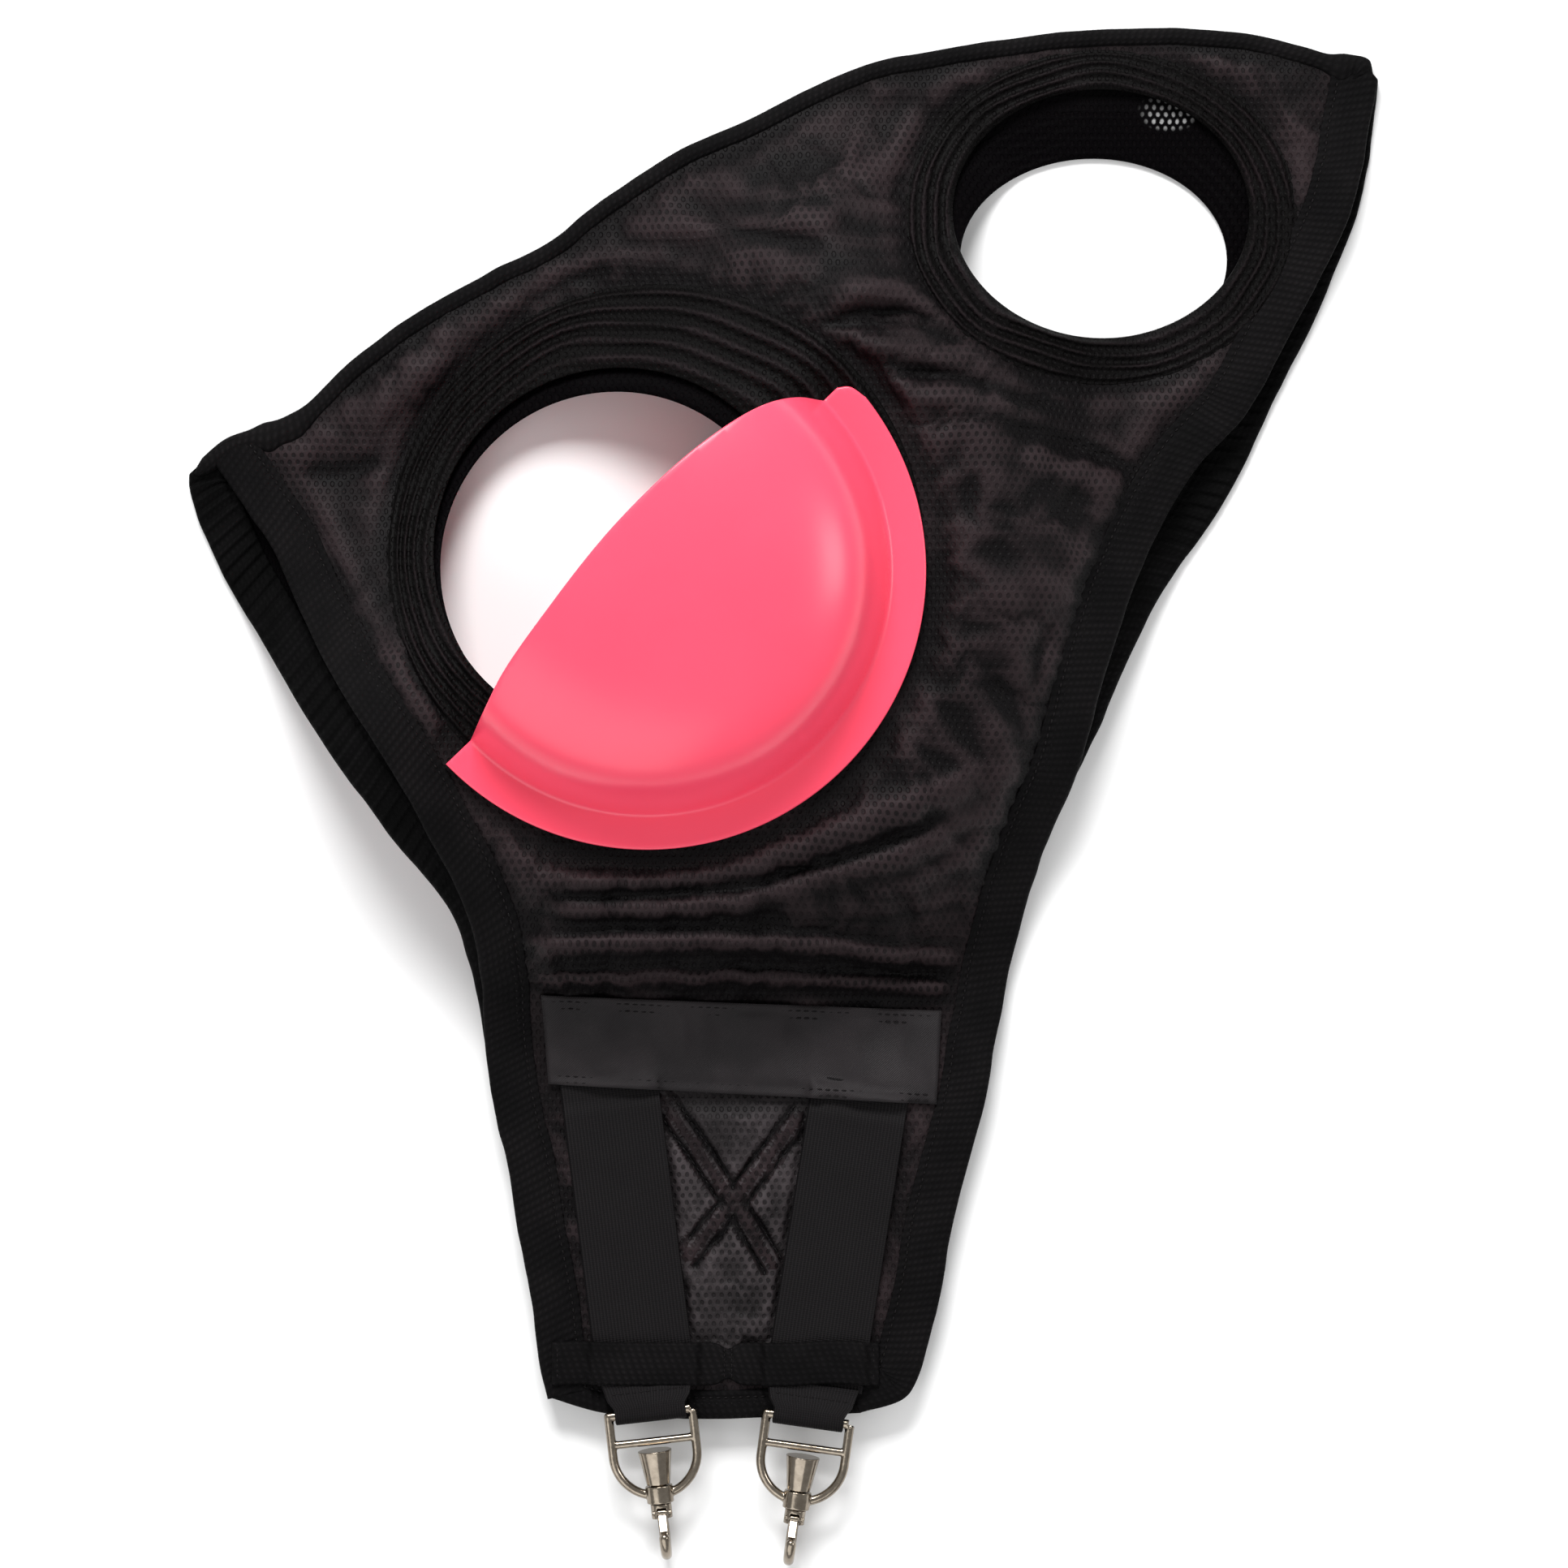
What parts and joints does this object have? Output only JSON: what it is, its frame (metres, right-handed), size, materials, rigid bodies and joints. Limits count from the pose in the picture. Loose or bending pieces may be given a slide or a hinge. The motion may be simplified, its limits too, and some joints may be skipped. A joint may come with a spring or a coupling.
{
  "type": "horse blinker hood",
  "caption": "Horse blinker hood folded flat, with half cups beside the eyes, ear holes and a throat flap with elastic straps and swivel snap hooks.",
  "frame": {"origin": "centre of the bounding box at the level of the surface that the folded hood lies on", "axes": "+X from the nose opening towards the neck opening, +Y from the throat flap towards the crown seam, +Z out of the near side"},
  "size_m": [0.3517, 0.4538, 0.0815],
  "materials": {
    "mesh_cloth": "black stretch mesh, matt",
    "rib_binding": "black ribbed elastic binding",
    "padded_rim": "black padded and topstitched cloth",
    "woven_tape": "black woven tape",
    "elastic_web": "black ribbed elastic webbing",
    "hook_tape": "black hook tape",
    "loop_tape": "black loop tape",
    "cup_plastic": "pink satin moulded plastic",
    "nickel": "warm nickel plate"
  },
  "bodies": {
    "hood": {"near_panel": "mesh_cloth", "far_panel": "mesh_cloth", "crown_seam_tape": "rib_binding", "near_nose_binding": "rib_binding", "far_nose_binding": "rib_binding", "near_neck_binding": "rib_binding", "far_neck_binding": "rib_binding", "near_flap_hem": "rib_binding", "far_flap_hem": "rib_binding", "near_eye_rim": "padded_rim", "far_eye_rim": "padded_rim", "near_ear_rim": "padded_rim", "far_ear_rim": "padded_rim", "near_strap_band": "woven_tape", "far_strap_band": "woven_tape", "hook_patch": "hook_tape", "loop_patch": "loop_tape", "near_cup": "cup_plastic", "far_cup": "cup_plastic", "strap_keeper": "rib_binding", "left_ring_tab": "woven_tape", "right_ring_tab": "woven_tape", "left_elastic_strap": "elastic_web", "right_elastic_strap": "elastic_web"},
    "left_strap_end": {"left_strap_loop": "elastic_web"},
    "left_eye": {"left_snap_eye": "nickel"},
    "left_hook": {"left_snap_hook": "nickel", "left_gate_rivet": "nickel"},
    "left_gate": {"left_snap_gate": "nickel"},
    "right_strap_end": {"right_strap_loop": "elastic_web"},
    "right_eye": {"right_snap_eye": "nickel"},
    "right_hook": {"right_snap_hook": "nickel", "right_gate_rivet": "nickel"},
    "right_gate": {"right_snap_gate": "nickel"},
    "left_ring": {"left_d_ring": "nickel"},
    "right_ring": {"right_d_ring": "nickel"}
  },
  "joints": [
    {"name": "left_strap_stretch", "type": "slide", "parent": "hood", "child": "left_strap_end", "axis": [0.1253, -0.9921, 0], "range_m": [0, 0.025], "stiffness_N_per_m": 250, "deforming": ["left_elastic_strap"]},
    {"name": "left_eye_tilt", "type": "hinge", "parent": "left_strap_end", "child": "left_eye", "pos_m": [-0.0394, -0.1815, 0.0123], "axis": [0.9936, 0.1132, 0], "range_deg": [-96, 12]},
    {"name": "left_hook_swivel", "type": "hinge", "parent": "left_eye", "child": "left_hook", "pos_m": [-0.0394, -0.1815, 0.0123], "axis": [0.1125, -0.987, -0.1149], "continuous": true},
    {"name": "left_gate_open", "type": "hinge", "parent": "left_hook", "child": "left_gate", "pos_m": [-0.03602, -0.21121, 0.01055], "axis": [0.9936, 0.1132, 0], "range_deg": [0, 25], "stiffness_Nm_per_rad": 0.02, "springref_deg": -11.46},
    {"name": "right_strap_stretch", "type": "slide", "parent": "hood", "child": "right_strap_end", "axis": [-0.1564, -0.9877, 0], "range_m": [0, 0.025], "stiffness_N_per_m": 250, "deforming": ["right_elastic_strap"]},
    {"name": "right_eye_tilt", "type": "hinge", "parent": "right_strap_end", "child": "right_eye", "pos_m": [0.0072, -0.18335, 0.0123], "axis": [0.9903, -0.1392, 0], "range_deg": [-96, 12]},
    {"name": "right_hook_swivel", "type": "hinge", "parent": "right_eye", "child": "right_hook", "pos_m": [0.0072, -0.18335, 0.0123], "axis": [-0.1383, -0.9837, -0.1149], "continuous": true},
    {"name": "right_gate_open", "type": "hinge", "parent": "right_hook", "child": "right_gate", "pos_m": [0.00304, -0.21296, 0.01055], "axis": [0.9903, -0.1392, 0], "range_deg": [0, 25], "stiffness_Nm_per_rad": 0.02, "springref_deg": -11.46},
    {"name": "left_ring_swing", "type": "hinge", "parent": "hood", "child": "left_ring", "pos_m": [-0.0538, -0.105, 0.0025], "axis": [1, 0, 0], "range_deg": [0, 150]},
    {"name": "right_ring_swing", "type": "hinge", "parent": "hood", "child": "right_ring", "pos_m": [0.0238, -0.105, 0.0025], "axis": [1, 0, 0], "range_deg": [0, 150]}
  ]
}
